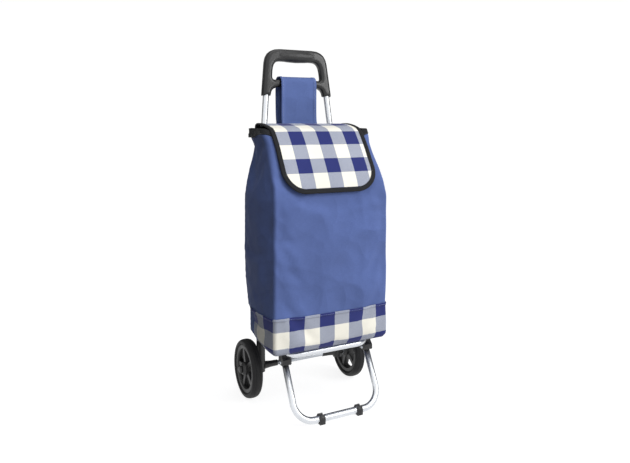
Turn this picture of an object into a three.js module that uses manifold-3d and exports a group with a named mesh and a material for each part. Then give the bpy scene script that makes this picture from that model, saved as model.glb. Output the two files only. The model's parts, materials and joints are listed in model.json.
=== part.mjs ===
// A two-wheeled shopping trolley: aluminium frame, moulded grip, fabric bag with a check flap.
// Millimetres, +Z up, front towards -Y. The finished group stands on z = 0 with its origin
// at the middle of its footprint. Inside the group, y = 0 is the wheel axle.
import * as THREE from "three";
import { mergeVertices } from "three/addons/utils/BufferGeometryUtils.js";
import Module from "manifold-3d";

const wasm = await Module();
wasm.setup();

// ---------------------------------------------------------------- driving dimensions
const GAP = 0.3;
const TUBE_R = 8.25;
const TUBE_WALL = 1.3;
const FRAME_HALF = 118; // tube centres, either side of the middle

const WHEEL_R = 75;
const TRACK_HALF = 154.5;
const TYRE_HALF = 14;
const TYRE_INNER_R = 61;
const RIM_INNER_R = 50;
const HUB_R = 17;
const HUB_HALF = 18.3;
const SPOKES = 5;
const SPOKE_DEPTH = 15;
const AXLE_R = 6;
const AXLE_HALF = 177.5;

const UPRIGHT_FOOT_Z = 88;
const UPRIGHT_BEND_Z = 560;
const UPRIGHT_BEND_R = 220;
const GRIP_BASE = new THREE.Vector3(94.5, 20.6, 804); // centre of the right grip sleeve
const SLEEVE_DEPTH = 70;

const PLATFORM_Z = 155;
const PLATFORM_FRONT = -168;
const PLATFORM_REAR = -30;
const PLATFORM_BEND = 35;
const PLATFORM_PIVOT = new THREE.Vector2(-40, PLATFORM_Z); // y, z
const PIN_R = 2.5;

const STAND_PIVOT = new THREE.Vector2(-154, 137);
const STAND_BAR = new THREE.Vector2(-223, 11);
const STAND_BEND = 48;
const CLIP_HALF_SPAN = 53;
const CLIP_WIDTH = 15;

const BAG_BACK = -14;
const BAG_BOTTOM = 167;
const BAG_TOP = 706;
const BAG_WALL = 2.5;
const BAND_TOP = 256;
const BAND_END_LEAN = 0.6; // of one station, at the band's lower edge
const TAPE_HEIGHT = 15;

const FLAP_HALF = 135;
const FLAP_CORNER = 62;
const FLAP_BINDING = 11.5;
const LOOP_HALF = 54;

const FRONT_OF_CLIPS = STAND_BAR.x - 11.1;
const ORIGIN_SHIFT = -(FRONT_OF_CLIPS + WHEEL_R) / 2;

// ---------------------------------------------------------------- materials
function finish(color, roughness, metalness) {
  return () => new THREE.MeshStandardMaterial({ color, roughness, metalness });
}
const aluminium = finish(0xc9ccd0, 0.3, 0.95);
const steel = finish(0xb9bcc0, 0.35, 0.95);
const blackPlastic = finish(0x1d1e20, 0.5, 0);
const gripPlastic = finish(0x34353a, 0.55, 0);
const rubber = finish(0x19191b, 0.8, 0);
const blueFabric = finish(0x44558f, 0.9, 0);
const checkFabric = finish(0xa9b0c6, 0.9, 0);
const blackTape = finish(0x2a2b30, 0.85, 0);

// ---------------------------------------------------------------- geometry helpers
const v3 = (x, y, z) => new THREE.Vector3(x, y, z);

/** A cleaned copy with shared vertices and no collapsed triangles. */
function closed(geometry) {
  const bare = geometry.clone();
  bare.deleteAttribute("normal");
  bare.deleteAttribute("uv");
  const merged = mergeVertices(bare, 1e-4);
  const kept = [];
  const index = merged.index.array;
  for (let i = 0; i < index.length; i += 3) {
    const [a, b, c] = [index[i], index[i + 1], index[i + 2]];
    if (a !== b && b !== c && c !== a) kept.push(a, b, c);
  }
  merged.setIndex(kept);
  merged.clearGroups();
  return merged;
}

function solidOf(geometry) {
  const clean = closed(geometry);
  const mesh = new wasm.Mesh({
    numProp: 3,
    vertProperties: new Float32Array(clean.attributes.position.array),
    triVerts: new Uint32Array(clean.index.array),
  });
  return new wasm.Manifold(mesh);
}

function geometryOf(solid) {
  const mesh = solid.getMesh();
  const geometry = new THREE.BufferGeometry();
  const positions = new Float32Array(mesh.vertProperties);
  geometry.setAttribute("position", new THREE.BufferAttribute(positions, 3));
  geometry.setIndex(new THREE.BufferAttribute(new Uint32Array(mesh.triVerts), 1));
  return geometry;
}

function joined(...geometries) {
  return geometryOf(geometries.map(solidOf).reduce((a, b) => a.add(b)));
}

function cut(geometry, ...cutters) {
  return geometryOf(cutters.map(solidOf).reduce((a, b) => a.subtract(b), solidOf(geometry)));
}

/** The same shape on the other side of the x = 0 plane, faces still pointing out. */
function mirrored(geometry) {
  const copy = closed(geometry);
  copy.scale(-1, 1, 1);
  const index = copy.index.array;
  const turned = [];
  for (let i = 0; i < index.length; i += 3) turned.push(index[i], index[i + 2], index[i + 1]);
  copy.setIndex(turned);
  return copy;
}

/** A path that keeps exactly the points it is given, for tubes swept in few steps. */
class PointPath extends THREE.Curve {
  constructor(points) {
    super();
    this.points = points;
  }

  at(u) {
    return Math.round(u * (this.points.length - 1));
  }

  getPoint(u) {
    return this.points[this.at(u)].clone();
  }

  getPointAt(u) {
    return this.getPoint(u);
  }

  getSpacedPoints() {
    return this.points.map((p) => p.clone());
  }

  getTangentAt(u) {
    const i = this.at(u);
    const last = this.points.length - 1;
    const before = this.points[Math.max(i - 1, 0)];
    const here = this.points[i];
    const after = this.points[Math.min(i + 1, last)];
    const inward = i > 0 ? here.clone().sub(before).normalize() : v3(0, 0, 0);
    const outward = i < last ? after.clone().sub(here).normalize() : v3(0, 0, 0);
    return inward.add(outward).normalize();
  }

  getTangent(u) {
    return this.getTangentAt(u);
  }
}

/** Straight runs between the corners, each corner rounded to the radius in a few steps. */
function roundedPath(corners, radius, steps) {
  const points = [corners[0].clone()];
  for (let i = 1; i < corners.length - 1; i++) {
    const back = corners[i - 1].clone().sub(corners[i]).normalize();
    const ahead = corners[i + 1].clone().sub(corners[i]).normalize();
    const half = back.angleTo(ahead) / 2;
    const centre = back.clone().add(ahead).normalize().multiplyScalar(radius / Math.sin(half));
    centre.add(corners[i]);
    const reach = radius / Math.tan(half);
    const from = back.multiplyScalar(reach).add(corners[i]).sub(centre);
    const to = ahead.multiplyScalar(reach).add(corners[i]).sub(centre);
    const axis = from.clone().cross(to).normalize();
    const sweep = Math.PI - 2 * half;
    for (let k = 0; k <= steps; k++) {
      points.push(from.clone().applyAxisAngle(axis, (sweep * k) / steps).add(centre));
    }
  }
  points.push(corners[corners.length - 1].clone());
  return points;
}

function disc(radius) {
  return new THREE.Shape().absarc(0, 0, radius, 0, Math.PI * 2, false);
}

function annulus(outer, inner) {
  const shape = disc(outer);
  shape.holes.push(new THREE.Path().absarc(0, 0, inner, 0, Math.PI * 2, true));
  return shape;
}

function sweep(shape, points, curveSegments = 8) {
  const extrudePath = new PointPath(points);
  const steps = points.length - 1;
  return new THREE.ExtrudeGeometry(shape, { steps, extrudePath, curveSegments });
}

/** A hollow tube along the points. */
function tube(points, radius = TUBE_R) {
  return sweep(annulus(radius, radius - TUBE_WALL), points);
}

/** A solid rod along the points. */
function rod(points, radius) {
  return sweep(disc(radius), points);
}

/** A cylinder between two x positions, on the line through (y, z). */
function rodAlongX(x0, x1, y, z, radius, segments = 24) {
  const geometry = new THREE.CylinderGeometry(radius, radius, Math.abs(x1 - x0), segments);
  geometry.rotateZ(Math.PI / 2);
  geometry.translate((x0 + x1) / 2, y, z);
  return geometry;
}

/** An outline drawn in (y, z), given thickness between two x positions. */
function plateAlongX(shape, x0, x1, curveSegments = 8) {
  const depth = Math.abs(x1 - x0);
  const geometry = new THREE.ExtrudeGeometry(shape, { depth, bevelEnabled: false, curveSegments });
  const toYZ = new THREE.Matrix4().set(0, 0, 1, 0, 1, 0, 0, 0, 0, 1, 0, 0, 0, 0, 0, 1);
  geometry.applyMatrix4(toYZ);
  geometry.translate(Math.min(x0, x1), 0, 0);
  return geometry;
}

function outline(points) {
  return new THREE.Shape(points.map(([a, b]) => new THREE.Vector2(a, b)));
}

/** Rings of equally many points joined in turn, with flat ends or end to end. */
function loft(rings, { ring = false } = {}) {
  const count = rings[0].length;
  const positions = rings.flat().flatMap((p) => [p.x, p.y, p.z]);
  const index = [];
  const bands = ring ? rings.length : rings.length - 1;
  for (let r = 0; r < bands; r++) {
    const a = r * count;
    const b = ((r + 1) % rings.length) * count;
    for (let k = 0; k < count; k++) {
      const n = (k + 1) % count;
      index.push(a + k, a + n, b + n, a + k, b + n, b + k);
    }
  }
  if (!ring) {
    const last = rings.length - 1;
    index.push(...capOf(rings[0]).reverse());
    index.push(...capOf(rings[last]).map((k) => k + last * count));
  }
  if (signedVolume(positions, index) < 0) index.reverse();
  const geometry = new THREE.BufferGeometry();
  geometry.setAttribute("position", new THREE.Float32BufferAttribute(positions, 3));
  geometry.setIndex(index);
  return geometry;
}

/** Above zero when the triangles face outwards. */
function signedVolume(positions, index) {
  const corner = (i) => new THREE.Vector3().fromArray(positions, index[i] * 3);
  let sum = 0;
  for (let i = 0; i < index.length; i += 3) {
    sum += corner(i).dot(corner(i + 1).cross(corner(i + 2)));
  }
  return sum / 6;
}

/** Triangles that fill one flat ring of points, in the ring's own turning sense. */
function capOf(points) {
  const normal = v3(0, 0, 0);
  points.forEach((p, k) => {
    const q = points[(k + 1) % points.length];
    normal.add(v3((p.y - q.y) * (p.z + q.z), (p.z - q.z) * (p.x + q.x), (p.x - q.x) * (p.y + q.y)));
  });
  const flat = new THREE.Quaternion().setFromUnitVectors(normal.normalize(), v3(0, 0, 1));
  const contour = points.map((p) => {
    const turned = p.clone().applyQuaternion(flat);
    return new THREE.Vector2(turned.x, turned.y);
  });
  return THREE.ShapeUtils.triangulateShape(contour, []).flat();
}

function placed(name, geometry, material, parent) {
  const shape = closed(geometry).toNonIndexed();
  shape.computeVertexNormals();
  const mesh = new THREE.Mesh(shape, material());
  mesh.name = name;
  parent.add(mesh);
  return mesh;
}

/** The piece on the right (+x) and its mirror image on the left. */
function placedPair(name, geometry, material, parent) {
  placed(`${name}_right`, geometry, material, parent);
  placed(`${name}_left`, mirrored(geometry), material, parent);
}

// ---------------------------------------------------------------- assembly groups
const trolley = new THREE.Group();
trolley.position.y = ORIGIN_SHIFT;

const gripLean = Math.atan2(GRIP_BASE.y, GRIP_BASE.z - UPRIGHT_BEND_Z);
const upperRun = Math.hypot(GRIP_BASE.y, GRIP_BASE.z - UPRIGHT_BEND_Z);
const sleeveSlope = (FRAME_HALF - GRIP_BASE.x) / upperRun;
const handle = new THREE.Group();
handle.position.set(0, GRIP_BASE.y, GRIP_BASE.z);
handle.rotation.x = -gripLean;
trolley.add(handle);
handle.updateMatrix();

const standReach = STAND_BAR.clone().sub(STAND_PIVOT);
const standRake = Math.atan2(-standReach.x, -standReach.y);
const stand = new THREE.Group();
stand.position.set(0, STAND_PIVOT.x, STAND_PIVOT.y);
stand.rotation.x = -standRake;
trolley.add(stand);

// ---------------------------------------------------------------- handle and uprights
/** A point on the right sleeve's centreline, at a height along the tilted handle. */
function sleevePoint(height) {
  return v3(GRIP_BASE.x - sleeveSlope * height, 0, height);
}

function handleOutline() {
  const shape = new THREE.Shape();
  shape.moveTo(107, 0);
  shape.lineTo(97, 93);
  shape.bezierCurveTo(94, 119, 78, 132.5, 50, 132.5);
  shape.lineTo(-50, 132.5);
  shape.bezierCurveTo(-78, 132.5, -94, 119, -97, 93);
  shape.lineTo(-107, 0);
  shape.lineTo(-82, 0);
  shape.bezierCurveTo(-80, 18, -74, 22, -58, 25);
  shape.quadraticCurveTo(-30, 29, 0, 29);
  shape.quadraticCurveTo(30, 29, 58, 25);
  shape.bezierCurveTo(74, 22, 80, 18, 82, 0);
  shape.closePath();
  return shape;
}

function handleWindow() {
  const hole = new THREE.Path();
  hole.moveTo(74, 70);
  hole.bezierCurveTo(72, 88, 66, 98, 50, 98);
  hole.lineTo(-50, 98);
  hole.bezierCurveTo(-66, 98, -72, 88, -74, 70);
  hole.lineTo(-75.5, 55);
  hole.quadraticCurveTo(-76, 44.5, -66, 46);
  hole.quadraticCurveTo(-33, 50, 0, 50);
  hole.quadraticCurveTo(33, 50, 66, 46);
  hole.quadraticCurveTo(76, 44.5, 75.5, 55);
  hole.closePath();
  return hole;
}

/** The swollen, hand-filling middle of the top bar. */
function gripBarrel() {
  const profile = [[0, -58], [11, -57], [15, -51], [17.4, -27], [18.6, 0]];
  const other = profile.slice(0, -1).reverse().map(([r, x]) => [r, -x]);
  const points = [...profile, ...other].map(([r, x]) => new THREE.Vector2(r, x));
  const barrel = new THREE.LatheGeometry(points, 20);
  barrel.rotateZ(-Math.PI / 2);
  barrel.scale(1, 0.92, 1);
  barrel.translate(0, 0, 113.9);
  return barrel;
}

const HANDLE_DEPTH = 25;
const HANDLE_ROUNDING = 8;
const SCREW_HEIGHT = 18;

function handleBody() {
  const shape = handleOutline();
  shape.holes.push(handleWindow());
  const body = new THREE.ExtrudeGeometry(shape, {
    depth: HANDLE_DEPTH - 2 * HANDLE_ROUNDING,
    bevelThickness: HANDLE_ROUNDING,
    bevelSize: HANDLE_ROUNDING,
    bevelOffset: -HANDLE_ROUNDING,
    bevelSegments: 2,
    curveSegments: 5,
  });
  body.translate(0, 0, HANDLE_ROUNDING - HANDLE_DEPTH / 2);
  body.rotateX(Math.PI / 2);
  return body;
}

/** A pan-head screw pushed in along -y, its head seated at the given y. */
function screw(seat, length, shank, head) {
  const points = [[0, -length], [shank, -length], [shank, 0], [head, 0], [head * 0.8, 2], [0, 2.4]];
  const geometry = new THREE.LatheGeometry(points.map(([r, y]) => new THREE.Vector2(r, y)), 16);
  geometry.translate(0, seat, 0);
  return geometry;
}

const handleScrewSeat = HANDLE_DEPTH / 2 + GAP;
const screwHole = new THREE.CylinderGeometry(2.1, 2.1, 20, 12);

function handleScrewHole() {
  const hole = screwHole.clone();
  const at = sleevePoint(SCREW_HEIGHT);
  hole.translate(at.x, handleScrewSeat, at.z);
  return hole;
}

function buildHandle() {
  const bore = rod([sleevePoint(-5), sleevePoint(SLEEVE_DEPTH + GAP)], TUBE_R + GAP);
  const hole = handleScrewHole();
  const bores = [bore, mirrored(bore), hole, mirrored(hole)];
  placed("handle_grip", cut(joined(handleBody(), gripBarrel()), ...bores), gripPlastic, handle);
  const fastener = screw(handleScrewSeat, 7, 1.8, 3.8);
  const at = sleevePoint(SCREW_HEIGHT);
  fastener.translate(at.x, 0, at.z);
  placedPair("handle_screw", fastener, steel, handle);
}

const FITTING_SCREW_Z = 170;
const FITTING_R = 11.75;

function fittingScrewHole() {
  const hole = screwHole.clone();
  hole.translate(FRAME_HALF, FITTING_R, FITTING_SCREW_Z);
  return hole;
}

function buildUprights() {
  const foot = v3(FRAME_HALF, 0, UPRIGHT_FOOT_Z);
  const bend = v3(FRAME_HALF, 0, UPRIGHT_BEND_Z);
  const top = sleevePoint(SLEEVE_DEPTH).applyMatrix4(handle.matrix);
  const upright = tube(roundedPath([foot, bend, top], UPRIGHT_BEND_R, 4));
  const hole = handleScrewHole().applyMatrix4(handle.matrix);
  placedPair("upright_tube", cut(upright, hole, fittingScrewHole()), aluminium, trolley);
}

// ---------------------------------------------------------------- rear fittings and axle
const CHEEK = 4.3;
const CHEEK_INNER = TUBE_R + 0.9;
const CHEEK_R = 8.2;
const BOSS_END = 134.2;
const POST_FOOT_Z = 60;
const POST_HEIGHT = 118;

function clevisCheek(x) {
  const { x: y, y: z } = PLATFORM_PIVOT;
  const shape = new THREE.Shape();
  shape.moveTo(-5, z - CHEEK_R);
  shape.lineTo(-5, z + CHEEK_R);
  shape.lineTo(y, z + CHEEK_R);
  shape.absarc(y, z, CHEEK_R, Math.PI / 2, Math.PI * 1.5, false);
  return plateAlongX(shape, x, x + CHEEK);
}

/** The flared collar that stiffens the axle on the inner side of the fitting. */
function axleCollar() {
  const bore = AXLE_R + GAP;
  const profile = [[bore, 0], [11, 0], [9.6, 8], [8.2, 20], [7.7, 40], [bore, 40], [bore, 0]];
  const points = profile.map(([r, y]) => new THREE.Vector2(r, y));
  const collar = new THREE.LatheGeometry(points, 24);
  collar.rotateZ(Math.PI / 2);
  collar.translate(FRAME_HALF - 8, 0, WHEEL_R);
  return collar;
}

function rearFitting() {
  const post = new THREE.CylinderGeometry(FITTING_R, FITTING_R, POST_HEIGHT, 28);
  post.rotateX(Math.PI / 2);
  post.translate(FRAME_HALF, 0, POST_FOOT_Z + POST_HEIGHT / 2);
  const boss = rodAlongX(FRAME_HALF, BOSS_END, 0, WHEEL_R, 10.5);
  const web = new THREE.BoxGeometry(2 * (CHEEK_INNER + CHEEK), 20, 2 * CHEEK_R);
  web.translate(FRAME_HALF, -15, PLATFORM_Z);
  const inner = clevisCheek(FRAME_HALF - CHEEK_INNER - CHEEK);
  const outer = clevisCheek(FRAME_HALF + CHEEK_INNER);
  const tubeSocket = rod(
    [v3(FRAME_HALF, 0, UPRIGHT_FOOT_Z - GAP), v3(FRAME_HALF, 0, 190)],
    TUBE_R + GAP,
  );
  const axleBore = rodAlongX(60, 150, 0, WHEEL_R, AXLE_R + GAP);
  const pinHole = rodAlongX(100, 140, PLATFORM_PIVOT.x, PLATFORM_PIVOT.y, PIN_R + GAP, 16);
  const body = joined(post, boss, web, inner, outer, axleCollar());
  return cut(body, tubeSocket, axleBore, pinHole, fittingScrewHole());
}

/** A rivet along x with a low domed head at each end. */
function rivet(x0, x1, y, z) {
  const head = 4.4;
  const points = [[0, x0 - 2], [head * 0.7, x0 - 1.6], [head, x0], [PIN_R, x0]];
  const far = [[PIN_R, x1], [head, x1], [head * 0.7, x1 + 1.6], [0, x1 + 2]];
  const profile = [...points, ...far].map(([r, x]) => new THREE.Vector2(r, x));
  const geometry = new THREE.LatheGeometry(profile, 16);
  geometry.rotateZ(-Math.PI / 2);
  geometry.translate(0, y, z);
  return geometry;
}

function ringAlongX(x0, x1, outer, inner) {
  const points = [[inner, x0], [outer, x0], [outer, x1], [inner, x1], [inner, x0]];
  const geometry = new THREE.LatheGeometry(points.map(([r, x]) => new THREE.Vector2(r, x)), 24);
  geometry.rotateZ(-Math.PI / 2);
  geometry.translate(0, 0, WHEEL_R);
  return geometry;
}

function axleCap() {
  const start = TRACK_HALF + HUB_HALF + GAP;
  const bore = AXLE_R + GAP;
  const profile = [
    [0, 178], [bore, 178], [bore, start], [9.5, start], [9.5, 177], [7.5, 179.6], [0, 180.4],
  ];
  const points = profile.map(([r, x]) => new THREE.Vector2(r, x));
  const geometry = new THREE.LatheGeometry(points, 24);
  geometry.rotateZ(-Math.PI / 2);
  geometry.translate(0, 0, WHEEL_R);
  return geometry;
}

function buildRear() {
  placedPair("rear_fitting", rearFitting(), blackPlastic, trolley);
  const fastener = screw(FITTING_R + GAP, 6.5, 1.8, 3.8);
  fastener.translate(FRAME_HALF, 0, FITTING_SCREW_Z);
  placedPair("fitting_screw", fastener, steel, trolley);
  placed("axle_rod", rodAlongX(-AXLE_HALF, AXLE_HALF, 0, WHEEL_R, AXLE_R), steel, trolley);
  const washer = ringAlongX(BOSS_END + GAP, BOSS_END + GAP + 1.4, 11, AXLE_R + GAP);
  placedPair("axle_washer", washer, steel, trolley);
  placedPair("axle_cap", axleCap(), blackPlastic, trolley);
}

// ---------------------------------------------------------------- wheels
/** Wheels are drawn about +z and turned so that the axis lies along x. */
function latheAboutZ(profile, segments) {
  const points = profile.map(([r, z]) => new THREE.Vector2(r, z));
  const geometry = new THREE.LatheGeometry(points, segments);
  geometry.rotateX(Math.PI / 2);
  return geometry;
}

function wheelRim() {
  const bore = AXLE_R + GAP;
  const seat = TYRE_INNER_R - GAP;
  const hub = latheAboutZ([
    [bore, -HUB_HALF], [12, -HUB_HALF], [HUB_R, -12], [HUB_R, 12],
    [12, HUB_HALF], [bore, HUB_HALF], [bore, -HUB_HALF],
  ], 24);
  const ring = latheAboutZ([
    [RIM_INNER_R + 2, -11], [seat, -11], [seat, 11], [RIM_INNER_R + 2, 11],
    [RIM_INNER_R, 8], [RIM_INNER_R, -8], [RIM_INNER_R + 2, -11],
  ], 40);
  const spokes = [];
  for (let k = 0; k < SPOKES; k++) {
    const [foot, tip] = [HUB_R - 3, RIM_INNER_R + 4];
    const shape = outline([[foot, -6.5], [tip, -4.5], [tip, 4.5], [foot, 6.5]]);
    const spoke = new THREE.ExtrudeGeometry(shape, { depth: SPOKE_DEPTH, bevelEnabled: false });
    spoke.translate(0, 0, -SPOKE_DEPTH / 2);
    spoke.rotateZ(Math.PI / 2 + (k * 2 * Math.PI) / SPOKES);
    spokes.push(spoke);
  }
  return joined(hub, ring, ...spokes);
}

function tyre() {
  const half = [[TYRE_INNER_R, 10.5], [64.5, 13.2], [68.5, TYRE_HALF], [72, 12], [74.3, 8], [WHEEL_R, 3.5]];
  const other = half.slice().reverse().map(([r, z]) => [r, -z]);
  return latheAboutZ([...other.reverse(), ...half.slice().reverse(), other[0]], 40);
}

function buildWheel(side, x) {
  const wheel = new THREE.Group();
  wheel.position.set(x, 0, WHEEL_R);
  wheel.rotation.y = Math.PI / 2;
  trolley.add(wheel);
  placed(`wheel_rim_${side}`, wheelRim(), blackPlastic, wheel);
  placed(`tyre_${side}`, tyre(), rubber, wheel);
}

// ---------------------------------------------------------------- platform and brackets
function platformPath() {
  const corners = [
    v3(FRAME_HALF, PLATFORM_REAR, PLATFORM_Z),
    v3(FRAME_HALF, PLATFORM_FRONT, PLATFORM_Z),
    v3(-FRAME_HALF, PLATFORM_FRONT, PLATFORM_Z),
    v3(-FRAME_HALF, PLATFORM_REAR, PLATFORM_Z),
  ];
  return roundedPath(corners, PLATFORM_BEND, 5);
}

const BRACKET_IN = 106.5;
const BRACKET_OUT = 129.5;
const LEG_SLOT = TUBE_R + 1.2;

/** The bracket clamps the platform's corner and holds the top of a stand leg. */
function frontBracket() {
  const side = outline([
    [-142, 131], [-165, 131], [-169, 135], [-169, 146], [-161, 153], [-158, 165.6], [-142, 165.6],
  ]);
  const block = plateAlongX(side, BRACKET_IN, BRACKET_OUT);
  const along = standReach.clone().normalize();
  const ahead = new THREE.Vector2(along.y, -along.x);
  const front = (t) => {
    const p = STAND_PIVOT.clone().addScaledVector(ahead, TUBE_R + 0.95);
    p.addScaledVector(along, t);
    return [p.x, p.y];
  };
  const slot = plateAlongX(
    outline([front(30), front(-6), [-130, 146.4], [-130, 110]]),
    FRAME_HALF - LEG_SLOT,
    FRAME_HALF + LEG_SLOT,
  );
  const channel = rod(platformPath(), TUBE_R + GAP);
  const pinHole = rodAlongX(100, 145, STAND_PIVOT.x, STAND_PIVOT.y, PIN_R + GAP, 16);
  return cut(block, slot, channel, pinHole);
}

function buildPlatform() {
  const pinHole = rodAlongX(-150, 150, PLATFORM_PIVOT.x, PLATFORM_PIVOT.y, PIN_R + GAP, 16);
  placed("platform_tube", cut(tube(platformPath()), pinHole), aluminium, trolley);
  const reach = CHEEK_INNER + CHEEK + GAP;
  const pin = rivet(FRAME_HALF - reach, FRAME_HALF + reach, PLATFORM_PIVOT.x, PLATFORM_PIVOT.y);
  placedPair("platform_pin", pin, steel, trolley);
  placedPair("front_bracket", frontBracket(), blackPlastic, trolley);
}

// ---------------------------------------------------------------- front stand
/** An open ring that snaps over the bar, with a flared lip each side and a flat sole. */
function footClip() {
  const inner = TUBE_R + GAP;
  const outer = 11.1;
  const lip = 13;
  const mouth = THREE.MathUtils.degToRad(60);
  const lipX = lip * Math.cos(mouth);
  const lipY = lip * Math.sin(mouth);
  const flank = THREE.MathUtils.degToRad(48.5);
  const sole = -STAND_BAR.y;
  const soleHalf = 10.4;
  const shape = new THREE.Shape();
  shape.absarc(0, 0, outer, Math.PI - flank, Math.PI, false);
  shape.lineTo(-soleHalf, sole);
  shape.lineTo(soleHalf, sole);
  shape.lineTo(outer, 0);
  shape.absarc(0, 0, outer, 0, flank, false);
  shape.lineTo(lipX, lipY);
  shape.absarc(0, 0, inner, mouth, Math.PI - mouth, true);
  shape.lineTo(-lipX, lipY);
  return plateAlongX(shape, CLIP_HALF_SPAN - CLIP_WIDTH / 2, CLIP_HALF_SPAN + CLIP_WIDTH / 2);
}

function buildStand() {
  const drop = -standReach.length();
  const end = PIN_R + 0.9;
  const corners = [
    v3(FRAME_HALF, 0, end), v3(FRAME_HALF, 0, drop),
    v3(-FRAME_HALF, 0, drop), v3(-FRAME_HALF, 0, end),
  ];
  const pinHole = rodAlongX(-150, 150, 0, 0, PIN_R + GAP, 16);
  placed("stand_tube", cut(tube(roundedPath(corners, STAND_BEND, 6)), pinHole), aluminium, stand);
  placedPair("stand_pin", rivet(BRACKET_IN - GAP, BRACKET_OUT + GAP, 0, 0), steel, stand);
  const feet = new THREE.Group();
  feet.position.z = drop;
  feet.rotation.x = standRake;
  stand.add(feet);
  placedPair("foot_clip", footClip(), blackPlastic, feet);
}

// ---------------------------------------------------------------- bag
// Half width at the front and at the rear, front face and side swell, at each height.
const BAG_LEVELS = [
  { z: BAG_BOTTOM, half: 157, rear: 150, front: -183, swell: 4 },
  { z: 176, half: 163, rear: 155, front: -188.5, swell: 5 },
  { z: 240, half: 163.5, rear: 156, front: -189.3, swell: 6 },
  { z: BAND_TOP, half: 163.5, rear: 161.5, front: -189.5, swell: 6 },
  { z: 326, half: 163.8, rear: 169, front: -190, swell: 6 },
  { z: 400, half: 164, rear: 171.5, front: -190.5, swell: 6 },
  { z: 541, half: 164, rear: 171, front: -190.5, swell: 5 },
  { z: 575, half: 162.5, rear: 166, front: -182, swell: 4 },
  { z: 610, half: 160, rear: 158, front: -165, swell: 3 },
  { z: 635, half: 157, rear: 151, front: -150.5, swell: 2 },
  { z: 665, half: 155, rear: 146, front: -132.6, swell: 1 },
  { z: BAG_TOP - TAPE_HEIGHT, half: 152, rear: 155, front: -115.7, swell: 1 },
  { z: BAG_TOP, half: 152, rear: 155, front: -106, swell: 1 },
];
const FRONT_CORNER = 14;
const REAR_CORNER = 6;
const CORNER_STEPS = 4;
const SIDE_STEPS = 4;

function bagLevel(z) {
  const above = BAG_LEVELS.findIndex((level) => level.z >= z);
  const b = BAG_LEVELS[above < 0 ? BAG_LEVELS.length - 1 : above];
  const a = BAG_LEVELS[Math.max((above < 0 ? BAG_LEVELS.length : above) - 1, 0)];
  const share = b === a ? 0 : (z - a.z) / (b.z - a.z);
  const mix = (key) => THREE.MathUtils.lerp(a[key], b[key], share);
  return { half: mix("half"), rear: mix("rear"), front: mix("front"), swell: mix("swell") };
}

/** The right half of the bag's outline at a height, from the back middle to the front middle. */
function halfOutline(z, grow) {
  const level = bagLevel(z);
  const [foreX, backX] = [level.half + grow, level.rear + grow];
  const [fore, back] = [level.front - grow, BAG_BACK + grow];
  const [foreR, backR] = [FRONT_CORNER + grow, REAR_CORNER + grow];
  const points = [v3(0, back, z), v3(backX / 2, back, z)];
  const arc = (cx, cy, r, from) => {
    for (let k = 0; k <= CORNER_STEPS; k++) {
      const a = from - (Math.PI / 2) * (k / CORNER_STEPS);
      points.push(v3(cx + r * Math.cos(a), cy + r * Math.sin(a), z));
    }
  };
  arc(backX - backR, back - backR, backR, Math.PI / 2);
  for (let k = 1; k < SIDE_STEPS; k++) {
    const share = k / SIDE_STEPS;
    const x = THREE.MathUtils.lerp(backX, foreX, share);
    const y = THREE.MathUtils.lerp(back - backR, fore + foreR, share);
    points.push(v3(x + level.swell * Math.sin(Math.PI * share), y, z));
  }
  arc(foreX - foreR, fore + foreR, foreR, 0);
  points.push(v3(foreX / 2, fore, z), v3(0, fore, z));
  return points;
}

/** The whole outline, anticlockwise from above, starting at the front middle. */
function bagOutline(z, grow = 0) {
  const right = halfOutline(z, grow).reverse();
  const left = right.slice(1, -1).reverse().map((p) => v3(-p.x, p.y, p.z));
  return [...right, ...left];
}

function bagBody() {
  const outer = BAG_LEVELS.map(({ z }) => bagOutline(z));
  const inside = BAG_LEVELS.slice(1).reverse().map(({ z }) => bagOutline(z, -BAG_WALL));
  const floor = bagOutline(BAG_BOTTOM + BAG_WALL, -BAG_WALL - 2);
  return loft([...outer, ...inside, floor]);
}

/** How far the band's end comes short of its last station at height z: its ends lean. */
function bandEndLean(z) {
  const short = (BAND_TOP - z) / (BAND_TOP - BAG_BOTTOM);
  return BAND_END_LEAN * short;
}

/** The check fabric sewn round the front and three quarters of both sides. */
function lowerBand() {
  const heights = [BAG_BOTTOM, 176, 240, BAND_TOP - 0.5];
  const ends = CORNER_STEPS + 1 + 2 + SIDE_STEPS / 2 + 1;
  const stripOf = (grow) =>
    heights.map((z) => {
      const all = bagOutline(z, grow);
      const left = all.slice(-ends + 1);
      const right = all.slice(0, ends);
      left[0] = left[0].clone().lerp(left[1], bandEndLean(z));
      right[ends - 1] = right[ends - 1].clone().lerp(right[ends - 2], bandEndLean(z));
      return [...left, ...right];
    });
  const near = stripOf(2 * GAP);
  const far = stripOf(2 * GAP + 1.2);
  const sections = near[0].map((_, k) => [
    ...near.map((row) => row[k]),
    ...far.map((row) => row[k]).reverse(),
  ]);
  return loft(sections);
}

/** Tape folded over the bag's mouth. */
function rimTape() {
  const low = BAG_TOP - TAPE_HEIGHT;
  const inner = -BAG_WALL - GAP;
  const thick = 1.4;
  const ring = (z, grow) => {
    const at = Math.min(z, BAG_TOP);
    return bagOutline(at, grow).map((p) => v3(p.x, p.y, z));
  };
  return loft([
    ring(low, GAP), ring(low, GAP + thick), ring(BAG_TOP + GAP + thick, GAP + thick),
    ring(BAG_TOP + GAP + thick, inner - thick), ring(low, inner - thick), ring(low, inner),
    ring(BAG_TOP + GAP, inner), ring(BAG_TOP + GAP, GAP),
  ], { ring: true });
}

function buildBag() {
  placed("bag_body", bagBody(), blueFabric, trolley);
  placed("bag_lower_band", lowerBand(), checkFabric, trolley);
  placed("bag_rim_tape", rimTape(), blackTape, trolley);
  placed("hanging_loop", hangingLoop(), blueFabric, trolley);
}

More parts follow.
